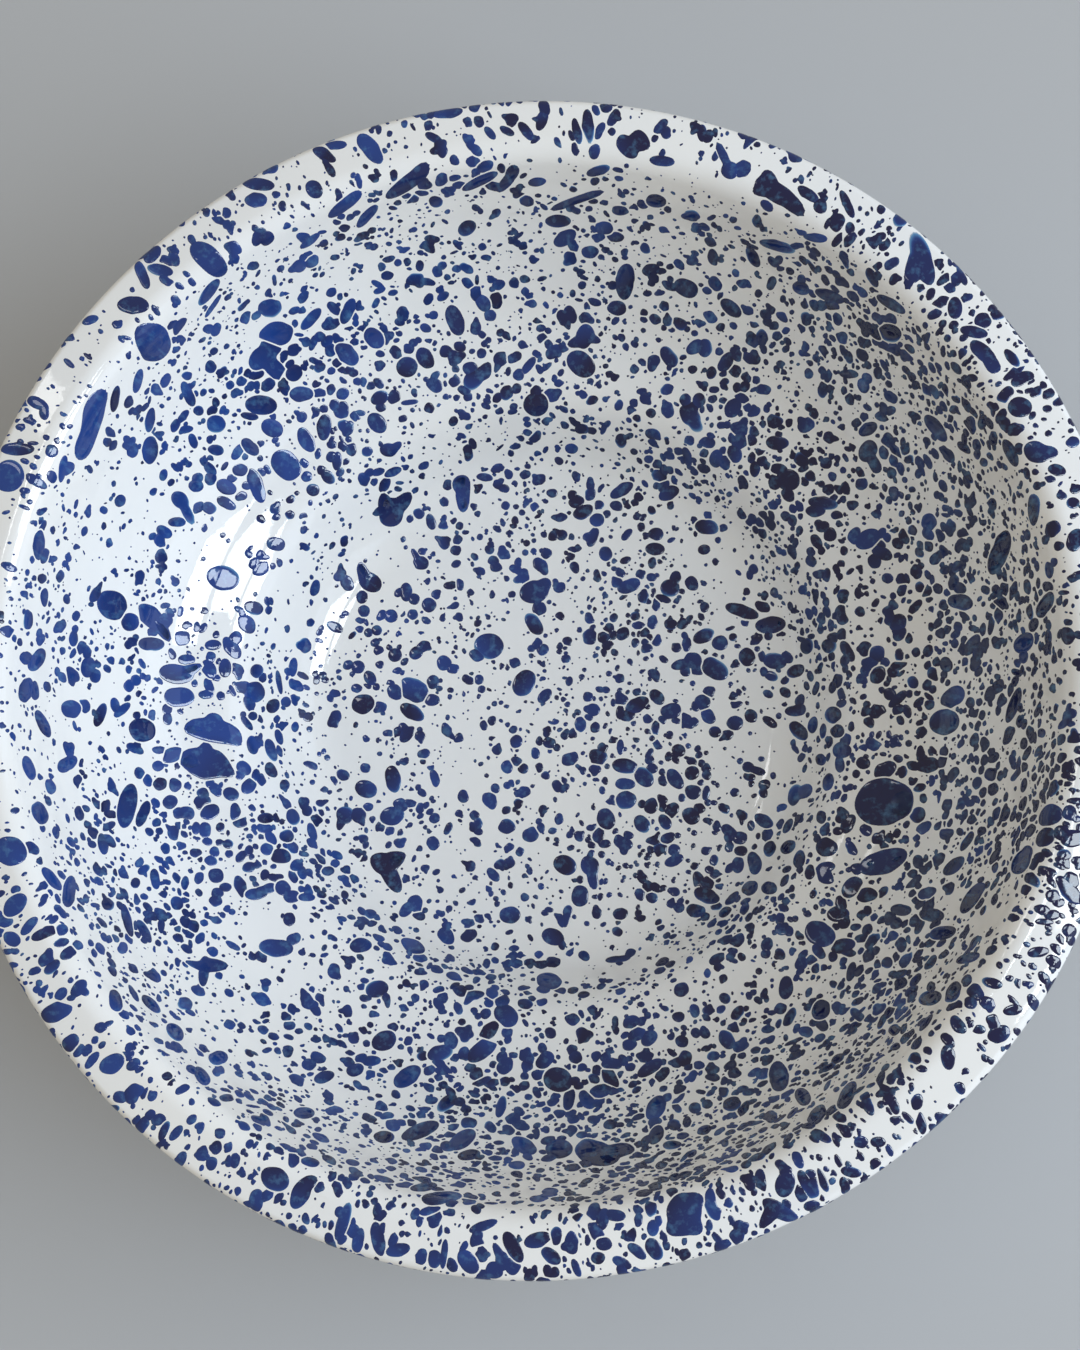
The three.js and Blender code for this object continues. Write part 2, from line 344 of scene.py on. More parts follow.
PHOTO_DROPS = UPPER_RIM_DROPS + LOWER_RIM_DROPS + TOP_WALL_DROPS + LEFT_DROPS
PHOTO_DROPS += MIDDLE_DROPS + RIGHT_DROPS + LOWER_WALL_DROPS

# Blots of several drops that ran together, the largest first, read in the same way
PHOTO_BLOTS = (
    ((730, 170, 18, 18, 0), (723, 155, 30, 7, -65), (719, 146, 18, 11, -70)),
    ((776, 192, 50, 20, -32), (797, 208, 30, 14, -55), (764, 188, 26, 15, 20), (769, 178, 20, 14, -60)),
    ((627, 146, 28, 18, -55), (642, 140, 26, 14, -50)),
    ((391, 512, 30, 25, 80), (403, 502, 26, 14, 55), (383, 501, 22, 10, 80)),
    ((463, 493, 38, 15, 88), (461, 484, 20, 18, 90)),
    ((922, 258, 58, 20, -72), (911, 272, 46, 13, 84), (909, 288, 16, 10, 90)),
    ((214, 731, 58, 24, -12, 0.3), (214, 719, 18, 14, 0), (236, 740, 20, 10, -60), (193, 727, 22, 12, 25)),
    ((207, 764, 50, 30, -10, 0.3), (190, 757, 30, 18, 20), (228, 771, 22, 12, -40), (205, 748, 16, 12, 60)),
    ((151, 617, 36, 20, -45), (167, 637, 24, 8, -75)),
    ((176, 674, 36, 20, -8), (196, 667, 18, 9, 10)),
    ((204, 971, 32, 11, 85), (218, 965, 30, 10, -15), (192, 963, 26, 6, -5)),
    ((389, 873, 46, 17, -62), (378, 864, 22, 14, -60), (397, 856, 24, 11, 0)),
    ((597, 1154, 48, 24, -12), (625, 1149, 24, 14, -10), (585, 1146, 20, 14, 30)),
    ((684, 1214, 44, 36, 90), (694, 1200, 20, 18, 0), (676, 1228, 22, 16, 0), (695, 1228, 18, 16, 0)),
    ((780, 1211, 44, 16, -30), (764, 1220, 26, 8, 80)),
    ((806, 1183, 30, 12, -60), (815, 1190, 30, 10, 80)),
    ((370, 582, 26, 19, -35), (361, 568, 16, 9, 80)),
    ((534, 592, 30, 23, 15), (545, 584, 16, 14, 40)),
    ((585, 336, 26, 18, 80), (575, 343, 18, 10, 10), (595, 340, 14, 8, -20)),
    ((407, 184, 54, 15, 35), (422, 170, 22, 14, 40)),
    ((508, 180, 34, 11, 50), (512, 172, 16, 12, 60)),
    ((474, 379, 26, 18, 45), (487, 370, 20, 9, 90)),
    ((868, 451, 24, 18, 60), (876, 467, 14, 13, 0)),
    ((983, 352, 32, 16, -42), (994, 368, 16, 13, 20)),
    ((1037, 452, 28, 22, -20), (1050, 452, 16, 12, -20)),
    ((590, 866, 22, 18, -60), (593, 882, 18, 11, -80)),
    ((972, 898, 38, 14, 55), (981, 888, 14, 9, 30)),
    ((690, 416, 26, 18, -50), (692, 407, 14, 12, 0), (697, 428, 14, 10, 0)),
    ((132, 1094, 22, 16, 70), (140, 1091, 12, 10, 0)),
    ((301, 1193, 38, 18, 62), (311, 1180, 18, 12, 10)),
    ((262, 358, 30, 22, 30), (272, 345, 24, 18, -10), (277, 372, 26, 18, -45)),
    ((345, 815, 18, 18, 0), (340, 824, 16, 8, 80)),
    ((1021, 862, 30, 16, 55), (1028, 851, 14, 12, 60)),
    ((684, 664, 28, 11, 14), (695, 660, 17, 13, 80), (690, 655, 9, 7, 0)),
    ((795, 795, 23, 13, 75), (806, 791, 16, 13, 60)),
    ((748, 767, 12, 11, 0), (755, 770, 14, 7, -15), (761, 772, 11, 9, 0)),
    ((180, 500, 22, 15, -45), (190, 518, 22, 11, -60)),
    ((826, 867, 19, 11, 10), (818, 873, 14, 9, 80), (826, 879, 19, 11, -5)),
    ((795, 711, 20, 11, 5), (800, 709, 13, 13, 0)),
    ((421, 563, 16, 14, 0), (414, 552, 12, 6, -70)),
    ((389, 450, 19, 14, 0), (397, 446, 12, 8, 50)),
    ((884, 802, 60, 48, 10), (900, 808, 24, 22, -20)),
    ((92, 423, 72, 20, 75), (84, 446, 30, 18, 70), (100, 398, 28, 16, 60)),
)

# Crowded and bare patches, set by comparison: pixel across and down, reach, share of the usual drops
PHOTO_PATCHES = (
    (460, 230, 28, 0.75), (390, 310, 16, 0.6), (520, 130, 15, 0.5), (225, 580, 19, 0.15),
    (130, 620, 14, 0.8), (300, 970, 26, 0.45), (150, 870, 16, 0.8), (780, 760, 15, 0.4),
    (700, 960, 14, 0.4), (360, 740, 13, 0.5), (640, 140, 16, 0.5), (480, 840, 14, 0.6),
    (870, 460, 12, 0.6), (100, 1000, 14, 0.7), (250, 260, 12, 0.6), (750, 170, 12, 0.5),
    (340, 1140, 14, 0.7), (530, 1040, 13, 0.7), (1050, 670, 13, 0.5), (160, 440, 14, 0.7),
    (850, 320, 24, 2.6), (750, 410, 22, 2.2), (960, 420, 22, 2.0), (1030, 540, 18, 2.0),
    (1062, 780, 18, 2.8), (1060, 880, 14, 2.2), (230, 800, 22, 2.4), (290, 860, 16, 2.2),
    (530, 1130, 34, 2.5), (720, 1180, 26, 2.0), (15, 950, 16, 2.2), (320, 1200, 22, 1.8),
    (670, 450, 15, 2.0), (480, 410, 18, 1.8), (480, 540, 16, 1.6), (470, 720, 18, 1.8),
    (660, 600, 14, 1.7), (650, 710, 14, 1.7), (670, 790, 13, 2.0), (970, 1070, 17, 0.55),
    (550, 1010, 18, 0.8), (920, 740, 15, 1.7), (780, 930, 15, 1.9), (900, 980, 18, 1.7),
    (390, 850, 13, 1.6), (800, 1080, 18, 1.6), (280, 380, 14, 1.5), (970, 640, 18, 1.2),
    (620, 240, 12, 1.5), (60, 640, 22, 1.6),
)

# Colours, linear
CREAM = (0.85, 0.84, 0.8, 1)
CREAM_COOL = (0.825, 0.825, 0.805, 1)
NAVY = (0.006, 0.009, 0.052, 1)
COBALT = (0.013, 0.05, 0.23, 1)
TEAL = (0.09, 0.24, 0.42, 1)
GROUND = (0.015, 0.018, 0.035, 1)
GROUND_PALE = (0.03, 0.036, 0.06, 1)
STEEL = (0.5, 0.51, 0.53, 1)
STEEL_PALE = (0.58, 0.59, 0.61, 1)
FLOOR = (0.46, 0.465, 0.465, 1)

# Bumps of the skins as waves a metre and depth in metres, and how streaks are drawn out upwards
GLOSS_BUMPS = ((45, 0.00012), (160, 0.00003))
GROUND_BUMPS = ((500, 0.00003),)
STREAK_SQUEEZE = (1, 1, 0.25)

# The stage, in metres; a lamp has a name, place, width, height, radiance and colour
FLOOR_SIZE = 9
FLOOR_ROUGHNESS = 0.6
WORLD_COLOUR = (1.0, 0.87, 0.65, 1)
WORLD_STRENGTH = 0.48
LAMP_AIM = (0, 0, 0.05)
SOFT_LAMPS = (
    ("day", (2.2, -0.3, 1.5), 2.4, 2.0, 4.3, (0.76, 0.91, 1.12)),
    ("ceiling", (0, 0, 2.2), 2.0, 2.0, 0.44, (0.55, 1.0, 1.73)),
)
MIRRORED_LAMPS = (
    ("sky", (2.1, -0.3, 1.45), 2.4, 2.0, 0.8, (0.75, 0.95, 1.3)),
    ("window", (1.0, -0.15, 1.43), 0.44, 0.75, 13, (0.86, 0.97, 1.05)),
    ("window_low", (0.37, 0.0, 1.43), 0.15, 0.22, 13, (0.86, 0.97, 1.05)),
    ("inner_strip", (-0.56, 0.44, 1.95), 0.07, 0.33, 8, (1, 1, 1)),
    ("outer_strip", (-1.16, 0.9, 1.95), 0.09, 0.4, 5, (1, 1, 1)),
)


def follow_sheet():
    """Radius, height, slope and length along the sheet's middle line, and the row where the bead starts."""
    rows = [(0.0, COVER_FACE, 0.0)]

    def run(length):
        r, z, slope = rows[-1]
        count = math.ceil(length / STEP)
        for k in range(1, count + 1):
            gone = length * k / count
            rows.append((r + gone * math.cos(slope), z + gone * math.sin(slope), slope))

    def bend(radius, end_degrees):
        r, z, start = rows[-1]
        turn = math.radians(end_degrees) - start
        reach = math.copysign(radius, turn)
        count = math.ceil(max(abs(turn) * radius / STEP, abs(turn) / math.radians(STEP_TURN)))
        for k in range(1, count + 1):
            slope = start + turn * k / count
            over = reach * (math.sin(slope) - math.sin(start))
            up = reach * (math.cos(start) - math.cos(slope))
            rows.append((r + over, z + up, slope))

    run(BASE_RADIUS)
    bend(FOOT_FILLET, FOOT_SLOPE)
    run(FOOT_SIDE)
    bend(SHOULDER_BEND, SHOULDER_SLOPE)
    run(SHOULDER_RUN)
    bend(BELLY_BEND, BELLY_SLOPE)
    bend(WALL_BEND, WALL_SLOPE)
    run(WALL_RUN)
    bend(LIP_BEND, RIM_SLOPE)
    run(RIM_RUN)
    bead_start = len(rows)
    bend(BEAD_BEND, RIM_SLOPE - BEAD_TURN)
    rows = np.array(rows)
    return np.column_stack((rows, lengths_along(rows[:, 0], rows[:, 1]))), bead_start


def lengths_along(r, z):
    """How far along its line each point lies."""
    return np.concatenate(([0.0], np.cumsum(np.hypot(np.diff(r), np.diff(z)))))


def ripple(middle, phi):
    """Height of the slow waves; the base has less of them."""
    height = sum(h * np.sin(n * phi + TAU * middle / length + p) for h, n, length, p in WAVES)
    return height * np.clip(middle / (2 * BASE_RADIUS), 0.0, 1.0)


SHEET_ROWS, BEAD_START = follow_sheet()


class Face:
    """One face of the enamelled sheet; a place on it is s, along it from the axis, and phi, round it."""

    def __init__(self, rows, offset):
        self.side = math.copysign(1, offset)
        self.slope = rows[:, 2]
        self.r = rows[:, 0] - offset * np.sin(self.slope)
        self.z = rows[:, 1] + offset * np.cos(self.slope)
        self.middle = rows[:, 3]
        self.s = lengths_along(self.r, self.z)
        middle_r = (self.r[1:] + self.r[:-1]) / 2
        self.area = np.concatenate(([0.0], np.cumsum(TAU * middle_r * np.diff(self.s))))

    def at(self, s):
        """Radius, height and slope at s."""
        return [np.interp(s, self.s, values) for values in (self.r, self.z, self.slope)]

    def points(self, s, phi, height):
        """Points at a height over the face, on its slow waves."""
        r, z, slope = self.at(s)
        lift = self.side * height + ripple(np.interp(s, self.s, self.middle), phi)
        r = r - lift * np.sin(slope)
        z = z + lift * np.cos(slope)
        return np.stack((r * np.cos(phi), r * np.sin(phi), z), axis=-1)

    def place_of(self, point):
        """The s and phi of a point on the face."""
        near = np.hypot(self.r - math.hypot(point[0], point[1]), self.z - point[2]).argmin()
        k = min(max(near, 1), len(self.s) - 2)
        line = np.array((self.r[k + 1] - self.r[k - 1], self.z[k + 1] - self.z[k - 1]))
        off = np.array((math.hypot(point[0], point[1]) - self.r[k], point[2] - self.z[k]))
        along = off @ line / np.hypot(*line)
        return self.s[k] + along, math.atan2(point[1], point[0])


INSIDE = Face(SHEET_ROWS, COVER_FACE)
OUTSIDE = Face(SHEET_ROWS[:BEAD_START], -COVER_FACE)


# Meshes

def add_object(name, data):
    made = bpy.data.objects.new(name, data)
    bpy.context.scene.collection.objects.link(made)
    return made


def make_object(name, points, faces, material, attributes=()):
    """A smooth mesh object riding on the bowl, from points in millimetres."""
    mesh = bpy.data.meshes.new(name)
    mesh.from_pydata((np.asarray(points) * MM).tolist(), [], faces)
    for key, values in dict(attributes).items():
        mesh.attributes.new(key, "FLOAT", "POINT").data.foreach_set("value", values.astype(np.float32))
    mesh.polygons.foreach_set("use_smooth", np.ones(len(mesh.polygons), dtype=bool))
    mesh.materials.append(material)
    mesh.update()
    made = add_object(name, mesh)
    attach(made, "root")
    return made


def turned_layer(name, rows, low, high, segments, material, lap=()):
    """A closed layer between two offsets from the middle line; lap points go on past its outer end."""
    line = [(*row, low, 0) for row in rows]
    line += [(*rows[-1], offset, along) for offset, along in lap]
    line += [(*row, high, 0) for row in rows[::-1]]
    r, z, slope, middle, offset, along = np.array(line).T[:, :, None]
    phi = np.arange(segments) * TAU / segments
    lift = offset + ripple(middle, phi)
    round_r = r - lift * np.sin(slope) + along * np.cos(slope)
    round_z = z + lift * np.cos(slope) + along * np.sin(slope)
    grid = np.stack((round_r * np.cos(phi), round_r * np.sin(phi), round_z), axis=-1)
    rings = grid[1:-1]
    poles = np.array((grid[0, 0], grid[-1, 0]))
    points = np.concatenate((rings.reshape(-1, 3), poles))
    count = len(rings)
    first_pole = count * segments
    faces = []
    for k in range(segments):
        n = (k + 1) % segments
        faces.append((first_pole, n, k))
        faces.append((first_pole + 1, (count - 1) * segments + k, (count - 1) * segments + n))
        for j in range(0, (count - 1) * segments, segments):
            faces.append((j + k, j + n, j + segments + n, j + segments + k))
    return make_object(name, points, faces, material)


# Camera

def camera_axes():
    """Right, up and forward of the photograph's camera; the top of the picture is towards +Y."""
    forward = (Vector(CAMERA_AIM) - Vector(CAMERA_PLACE)).normalized()
    right = forward.cross(Vector((0, 1, 0))).normalized()
    return right, right.cross(forward), forward


def sight_on(piece, face):
    """A function from a pixel of the photograph to the place on a face that it shows, or None."""
    right, up, forward = camera_axes()
    tree = BVHTree.FromObject(piece, bpy.context.evaluated_depsgraph_get())
    pixels = LENS / SENSOR * max(PHOTO_WIDE, PHOTO_HIGH)

    def sight(x, y):
        way = forward + right * ((x - PHOTO_WIDE / 2) / pixels) + up * ((PHOTO_HIGH / 2 - y) / pixels)
        hit = tree.ray_cast(Vector(CAMERA_PLACE) * MM, way.normalized())[0]
        return face.place_of(hit / MM) if hit else None

    return sight


def make_camera():
    right, up, forward = camera_axes()
    data = bpy.data.cameras.new("camera")
    data.lens = LENS
    data.sensor_width = SENSOR
    data.clip_start = 0.01
    camera = add_object("camera", data)
    turned = Matrix((right, up, -forward)).transposed().to_4x4()
    camera.matrix_world = Matrix.Translation(Vector(CAMERA_PLACE) * MM) @ turned
    bpy.context.scene.camera = camera


# Splatter

class Drop:
    """One drop: its middle on a face, and its outline as a radius for each angle round it."""

    def __init__(self, face, s, phi, outline):
        r, z, slope = face.at(s)
        lean = math.cos(slope)
        self.s = s
        self.phi = phi
        self.r = float(r)
        self.sign = math.copysign(1, lean)
        self.cone = self.r / max(abs(lean), LEAST_LEAN)
        self.centre = np.array((r * math.cos(phi), r * math.sin(phi), z))
        self.outline = outline
        self.by_photo = False
        self.tone = None
        self.thinness = None

    @property
    def size(self):
        """Radius of a round drop of the same area."""
        return mean_radius(self.outline)

    def edge(self, angle):
        """Radius of the outline at an angle."""
        return self.outline[int((angle % TAU) / TAU * OUTLINE_POINTS) % OUTLINE_POINTS]

    def spread(self, a, b):
        """The s and phi of points a outwards and b round, with the face unrolled as a cone."""
        ahead = self.cone + self.sign * a
        s = self.s + self.sign * (np.hypot(ahead, b) - self.cone)
        return s, self.phi + np.arctan2(b, ahead) * self.cone / self.r

    def gather(self, s, phi):
        """How far outwards and round a place lies."""
        swing = (phi - self.phi + math.pi) % TAU - math.pi
        reach = self.cone + self.sign * (s - self.s)
        angle = swing * self.r / self.cone
        return self.sign * (reach * np.cos(angle) - self.cone), reach * np.sin(angle)

    def step(self, start, end):
        """The step from one place to another, outwards and round."""
        return np.array(self.gather(*end)) - np.array(self.gather(*start))

    def clearance(self, s, phi):
        """How far a place lies outside the outline."""
        a, b = self.gather(s, phi)
        at = (np.arctan2(b, a) % TAU) * OUTLINE_POINTS / TAU
        low = np.floor(at).astype(int) % OUTLINE_POINTS
        share = at - np.floor(at)
        edge = self.outline[low] * (1 - share) + self.outline[(low + 1) % OUTLINE_POINTS] * share
        return np.hypot(a, b) - edge

    def cut_at(self, angle, distance):
        """Cuts the outline straight at a distance, square to an angle."""
        facing = np.cos(ANGLES - angle)
        limit = distance / np.maximum(facing, LEAST_FACING)
        self.outline = np.minimum(self.outline, np.where(facing > LEAST_FACING, limit, np.inf))

    def shrink_clear(self, others):
        """Draws the outline in until it clears the other drops by a hairline."""
        steps = SHRINK_STEPS
        shares = np.linspace(0, 1, steps + 1)[:, None]
        s, phi = self.spread(*(shares * self.outline * ROUND[:, None]))
        room = np.min([other.clearance(s, phi) for other in others], axis=0) - HAIRLINE
        blocked = room < 0
        first = np.where(blocked.any(axis=0), blocked.argmax(axis=0), steps)
        before = np.maximum(first - 1, 0)
        at = np.arange(OUTLINE_POINTS)
        gap_before = np.maximum(room[before, at], 0)
        gap_after = np.minimum(room[first, at], 0)
        part = gap_before / np.maximum(gap_before - gap_after, LEAST_GAP)
        share = np.where(blocked.any(axis=0), (before + part) / steps, 1)
        self.outline = self.outline * share

    def photo_oval(self, sight, x, y, long_side, short_side, degrees, *_):
        """Radii of an oval given by pixels; none where they miss the face."""
        turn = math.radians(degrees)
        centre = sight(x, y)
        axes = []
        for half, angle in ((long_side / 2, turn), (short_side / 2, turn + math.pi / 2)):
            across = half * math.cos(angle)
            down = -half * math.sin(angle)
            ends = ((1, sight(x + across, y + down)), (-1, sight(x - across, y - down)))
            spans = [way * self.step(centre, end) for way, end in ends if centre and end]
            if not spans:
                return np.zeros(OUTLINE_POINTS)
            axes.append(np.mean(spans, axis=0))
        return oval_seen(np.array(axes).T, np.array(self.gather(*centre)))


def mean_radius(outline):
    """Radius of a round outline of the same area."""
    return math.sqrt((outline**2).mean())


def smooth_round(values):
    """Evens out a ring of values."""
    return (np.roll(values, 1) + 2 * values + np.roll(values, -1)) / 4


def oval(size, stretch, turn):
    """Radii of an oval with the area of a round drop, turned by an angle."""
    long_side = size * math.sqrt(stretch)
    short_side = size / math.sqrt(stretch)
    return size**2 / np.hypot(short_side * np.cos(ANGLES - turn), long_side * np.sin(ANGLES - turn))


def oval_seen(axes, centre):
    """Radii of an oval's far side from a point off its centre; axes has its half axes as columns."""
    back = np.linalg.inv(axes)
    way = back @ ROUND
    off = back @ centre
    square = (way**2).sum(axis=0)
    towards = off @ way
    crossing = towards**2 - square * (off @ off - 1)
    far = (towards + np.sqrt(np.maximum(crossing, 0))) / square
    return np.where(crossing > 0, np.maximum(far, 0), 0)


def with_lobe(outline, distance, angle, radius):
    """An outline run together with a round lobe."""
    ahead = distance * np.cos(ANGLES - angle)
    aside = distance * np.sin(ANGLES - angle)
    inside = np.abs(aside) < radius
    far = ahead + np.sqrt(np.maximum(radius**2 - aside**2, 0))
    return np.where(inside, np.maximum(outline, far), outline)


def splashed(outline, rng):
    """Gives an outline the lobes and tails of a splashed drop."""
    size = mean_radius(outline)
    if size > LOBED_FROM and rng.random() < LOBED_SHARE:
        for _ in range(rng.integers(1, MOST_LOBES + 1)):
            away = size * rng.uniform(*LOBE_AWAY)
            outline = with_lobe(outline, away, rng.uniform(0, TAU), size * rng.uniform(*LOBE_SIZE))
    if size > TAILED_FROM and rng.random() < TAILED_SHARE:
        tail = np.maximum(np.cos(ANGLES - rng.uniform(0, TAU)), 0) ** rng.uniform(*TAIL_SHARPNESS)
        outline = outline * (1 + rng.uniform(*TAIL_LENGTH) * tail)
    return outline


def uneven(outline, rng, depth):
    """Gives an outline slight waves."""
    for waves in OUTLINE_WAVES:
        outline = outline * (1 + rng.normal(0, depth / waves) * np.cos(waves * ANGLES + rng.uniform(0, TAU)))
    return smooth_round(smooth_round(outline))


class Splatter:
    """The drops on one face: any read in the photograph first, then random ones from large to small."""

    def __init__(self, face, first_s, last_s, seed):
        self.face = face
        self.first_s = first_s
        self.last_s = last_s
        self.first_area, self.last_area = np.interp((first_s, last_s), face.s, face.area)
        self.rng = np.random.default_rng(seed)
        self.drops = []
        self.centres = np.zeros((0, 3))
        self.reaches = np.zeros(0)
        self.patches = []

    def near(self, drop, reach):
        """Drops that lie within reach of a place."""
        away = np.linalg.norm(self.centres - drop.centre, axis=1) - self.reaches
        return [self.drops[k] for k in np.flatnonzero(away < reach)]

    def add(self, drop):
        """Keeps a drop, with its own tone unless it ran into another; the lit side is painted paler and the
        shaded side darker.
        """
        if drop.tone is None:
            # Painted light: the tone leans to paler cobalt towards -x, the lit side, and to darker navy
            # towards +x, in shade
            usual = TONE - PAINTED_LIGHT_LEAN * drop.centre[0] / self.face.r.max()
            drop.tone = self.rng.normal(usual, TONE_SPREAD)
        self.drops.append(drop)
        self.centres = np.vstack((self.centres, drop.centre))
        self.reaches = np.append(self.reaches, drop.outline.max())

    def random_place(self):
        """A place on the face, evenly by area."""
        s = np.interp(self.rng.uniform(self.first_area, self.last_area), self.face.area, self.face.s)
        return float(s), self.rng.uniform(0, TAU)

    def place_beside(self, other, size):
        """A place where a drop of this size overlaps the edge of another."""
        angle = self.rng.uniform(0, TAU)
        step = other.edge(angle) + size * self.rng.uniform(*OVERLAP)
        s, phi = other.spread(step * math.cos(angle), step * math.sin(angle))
        return float(s), float(phi)

    def crowding(self, centre, size):
        """How likely a drop of this size is to be kept here."""
        coarse = noise.noise(Vector(centre) / CROWD_SCALE)
        fine = noise.noise(Vector(centre) / (CROWD_SCALE / 2) + Vector((size, *FINE_SHIFT)))
        heavy_side = math.cos(math.atan2(centre[1], centre[0]) - HEAVY_SIDE)
        wall = np.interp(math.hypot(centre[0], centre[1]), *WALL_SHARE)
        for middle, reach, share in self.patches:
            gap = math.dist(middle, centre) / reach
            if gap < PATCH_END:
                wall *= 1 + (share - 1) * math.exp(-gap * gap)
        return wall * (1 + HEAVY_CROWD * heavy_side + COARSE_CROWD * coarse + FINE_CROWD * fine)

    def shape(self, s, size):
        """The outline of a new drop, drawn out on the rim and the steep wall."""
        slope = math.degrees(float(self.face.at(s)[2]))
        rim_start = self.face.s[BEAD_START - 1] - RIM_RUN - LIP_BEND
        if s > rim_start and slope < STEEP:
            stretch = math.exp(self.rng.normal(*RIM_STRETCH))
            turn = self.rng.normal(0, RIM_TURN)
        elif slope > STEEP:
            stretch = math.exp(self.rng.normal(*WALL_STRETCH))
            turn = self.rng.normal(0, WALL_TURN)
        else:
            stretch = math.exp(abs(self.rng.normal(*FLAT_STRETCH)))
            turn = self.rng.uniform(0, math.pi)
        return uneven(splashed(oval(size, stretch, turn), self.rng), self.rng, RANDOM_UNEVEN)

    def try_drop(self, size):
        """A drop that finds room, or None; some run into a drop that is there already."""
        for _ in range(TRIES):
            partner = None
            if self.drops and self.rng.random() < np.interp(size, *FUSED):
                partner = self.drops[self.rng.integers(len(self.drops))]
                if partner.size > LARGEST_PARTNER * size:
                    continue
            s, phi = self.place_beside(partner, size) if partner else self.random_place()
            if not self.first_s < s < self.last_s:
                continue
            drop = Drop(self.face, s, phi, np.full(OUTLINE_POINTS, size))
            if self.rng.random() > self.crowding(drop.centre, size):
                continue
            beside = self.near(drop, LOOK_ROUND * size + HAIRLINE)
            others = [other for other in beside if other is not partner]
            if any(other.clearance(s, phi) < CLEAR_MIDDLE * size + HAIRLINE for other in others):
                continue
            drop.outline = self.shape(s, size)
            before = drop.size
            self.settle(drop, others)
            if drop.size > LEAST_KEPT * before:
                if partner:
                    drop.tone = partner.tone
                    drop.thinness = 0
                return drop
        return None

    def settle(self, drop, others):
        """Presses a drop against those beside it: like sizes share a straight seam, small ones give way."""
        for other in others:
            if drop.size / other.size > SEAM_RATIO and drop.by_photo == other.by_photo:
                a, b = drop.gather(other.s, other.phi)
                c, d = other.gather(drop.s, drop.phi)
                apart = math.hypot(a, b)
                reach = drop.edge(math.atan2(b, a))
                theirs = apart - float(other.clearance(drop.s, drop.phi))
                if reach + theirs + HAIRLINE > apart:
                    seam = apart * reach / (reach + theirs)
                    drop.cut_at(math.atan2(b, a), seam - HAIRLINE / 2)
                    other.cut_at(math.atan2(d, c), apart - seam - HAIRLINE / 2)
        if others:
            drop.shrink_clear(others)
        drop.outline = np.maximum(drop.outline, LEAST_RADIUS)

    def place_by_photo(self, blots, sight):
        """Places drops of one or more ovals where the photograph shows them."""
        for blot in blots:
            x, y, _, _, _, *paleness = blot[0]
            place = sight(x, y)
            if place is None:
                continue
            drop = Drop(self.face, *place, np.ones(OUTLINE_POINTS))
            ovals = [drop.photo_oval(sight, *row) for row in blot]
            drop.outline = uneven(np.max(ovals, axis=0), self.rng, PHOTO_UNEVEN)
            drop.by_photo = True
            if paleness:
                drop.thinness = paleness[0]
            self.settle(drop, self.near(drop, drop.outline.max() + HAIRLINE))
            self.add(drop)

    def crowd_by_photo(self, patches, sight):
        """Notes the crowded and bare patches by their middle on the face."""
        for x, y, reach, share in patches:
            place = sight(x, y)
            if place:
                self.patches.append((self.face.points(*place, 0), reach, share))

    def scatter(self, density, largest_drop):
        """Places random drops of each size up to the largest."""
        area = (self.last_area - self.first_area) / SQUARE_DECIMETRE
        placed = np.array([2 * drop.size for drop in self.drops])
        for smallest, largest, number in DROP_SIZES:
            if largest > largest_drop:
                continue
            there = np.count_nonzero((placed >= smallest) & (placed < largest))
            for _ in range(round(number * density * area) - there):
                drop = self.try_drop(self.rng.uniform(smallest, largest) / 2)
                if drop:
                    self.add(drop)

    def make_objects(self, name, material):
        """Makes the drops, from the axis outwards, in objects under a limit of faces."""
        groups = [[]]
        face_count = 0
        for drop in sorted(self.drops, key=lambda drop: drop.s):
            made = self.drop_mesh(drop)
            face_count += len(made[1])
            if face_count > MOST_FACES:
                groups.append([])
                face_count = len(made[1])
            groups[-1].append(made)
        for number, group in enumerate(groups, start=1):
            self.join(f"{name}_{number}", group, material)

    def join(self, name, drop_meshes, material):
        """One object of many drops, which carries their tone and thinness."""
        points, drop_faces, tones, thins = zip(*drop_meshes)
        faces = []
        start = 0
        for at, made in zip(points, drop_faces):
            faces.extend(tuple(start + k for k in face) for face in made)
            start += len(at)
        marks = {"tone": np.concatenate(tones), "thin": np.concatenate(thins)}
        make_object(name, np.concatenate(points), faces, material, marks)

    def drop_mesh(self, drop):
        """Points, faces, tone and thinness of a closed drop, domed, with its edge in the coat."""
        rng = self.rng
        longest = drop.outline.max()
        _, count, rings = next(detail for detail in DROP_MESHES if longest >= detail[0])
        angle = np.arange(count) * TAU / count
        edge = np.interp(angle, np.append(ANGLES, TAU), np.append(drop.outline, drop.outline[0]))
        fullness = min(1, drop.size / FULL_RISE_SIZE)
        rise = DROP_RISE * fullness**RISE_POWER
        shares = np.array([share for share, _ in rings])[:, None]
        heights = np.array([height for _, height in rings])[:, None] * rise + 0 * angle
        top_and_bottom = (0, 0)
        a = np.append((shares * edge * np.cos(angle)).ravel(), top_and_bottom)
        b = np.append((shares * edge * np.sin(angle)).ravel(), top_and_bottom)
        s, phi = drop.spread(a, b)
        points = self.face.points(s, phi, np.append(heights.ravel(), (rise, -DROP_DEPTH)))
        thin_side = rng.uniform(0, TAU)
        thinness = rng.random() ** 2 if drop.thinness is None else drop.thinness
        side = np.clip(THIN_FLANKS + (1 - THIN_FLANKS) * np.cos(angle - thin_side), 0, 1)
        thin = np.append((thinness * side * shares**3).ravel(), top_and_bottom)
        lean = rng.uniform(0, TONE_SLANT) * fullness * shares * np.cos(angle - thin_side)
        tone = np.clip(drop.tone + np.append(lean.ravel(), top_and_bottom), 0, 1)
        return points, self.drop_faces(count, len(rings)), tone, thin

